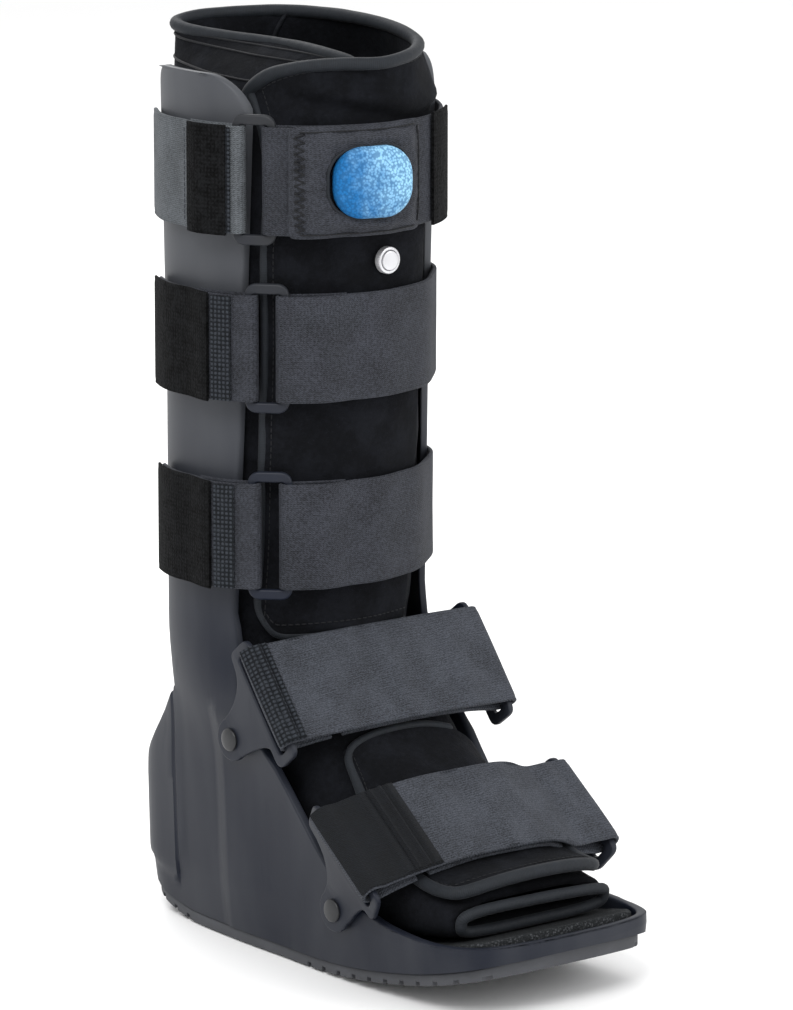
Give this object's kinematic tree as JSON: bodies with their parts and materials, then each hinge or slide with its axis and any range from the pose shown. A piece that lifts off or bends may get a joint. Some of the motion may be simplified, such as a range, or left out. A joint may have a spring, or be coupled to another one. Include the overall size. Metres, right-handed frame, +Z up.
{
  "type": "medical walking boot",
  "caption": "Tall air walker boot: rockered sole, rigid shell with side uprights, hollow padded liner, calf and foot straps, pump bulb.",
  "frame": {"origin": "on the floor, in the middle of the flat zone of the sole", "axes": "+Z up the leg, -Y towards the toe, +X towards the wearer's left"},
  "size_m": [0.156, 0.2855, 0.4372],
  "materials": {
    "shell": "fine-grained moulded charcoal plastic, satin, smooth broad faces",
    "sole": "matt charcoal rubber with a fine grain and cross grooves",
    "insole": "black brushed felt with a fuzzy cut edge",
    "liner": "black loop plush over foam, short soft nap",
    "binding": "smooth stretched binding tape, dark grey, soft sheen",
    "webbing": "dark grey woven strap with a fine even rib and sewn folds",
    "hook_patch": "black fuzzy hook-and-loop patch",
    "hardware": "black moulded plastic, satin, rounded edges",
    "rivet": "dark coated domed rivet head",
    "bulb": "blue moulded rubber with a leather-like grain",
    "valve": "silver-grey moulded plastic, satin"
  },
  "bodies": {
    "root": {"outsole": "sole", "shell": "shell", "insole_pad": "insole", "liner_leg": "liner", "liner_foot": "liner", "rim_binding": "binding", "front_flap": "liner", "vamp_flap": "liner", "toe_piping": "binding", "top_strap": "webbing", "top_tab": "webbing", "top_hook_patch": "hook_patch", "top_buckle": "hardware", "middle_strap": "webbing", "middle_tab": "webbing", "middle_hook_patch": "hook_patch", "middle_buckle": "hardware", "lower_strap": "webbing", "lower_tab": "webbing", "lower_hook_patch": "hook_patch", "lower_buckle": "hardware", "ankle_bracket_right": "hardware", "ankle_rivet_right": "rivet", "ankle_bracket_left": "hardware", "ankle_rivet_left": "rivet", "ankle_strap": "webbing", "toe_bracket_right": "hardware", "toe_rivet_right": "rivet", "toe_bracket_left": "hardware", "toe_rivet_left": "rivet", "toe_strap": "webbing", "pump_pouch": "webbing", "pump_bulb": "bulb", "pouch_hook_patch": "hook_patch", "valve_collar": "valve"},
    "valve": {"valve_button": "valve"}
  },
  "joints": [
    {"name": "valve_press", "type": "slide", "parent": "root", "child": "valve", "axis": [0, 1, 0], "range_m": [0, 0.0012], "stiffness_N_per_m": 600}
  ]
}
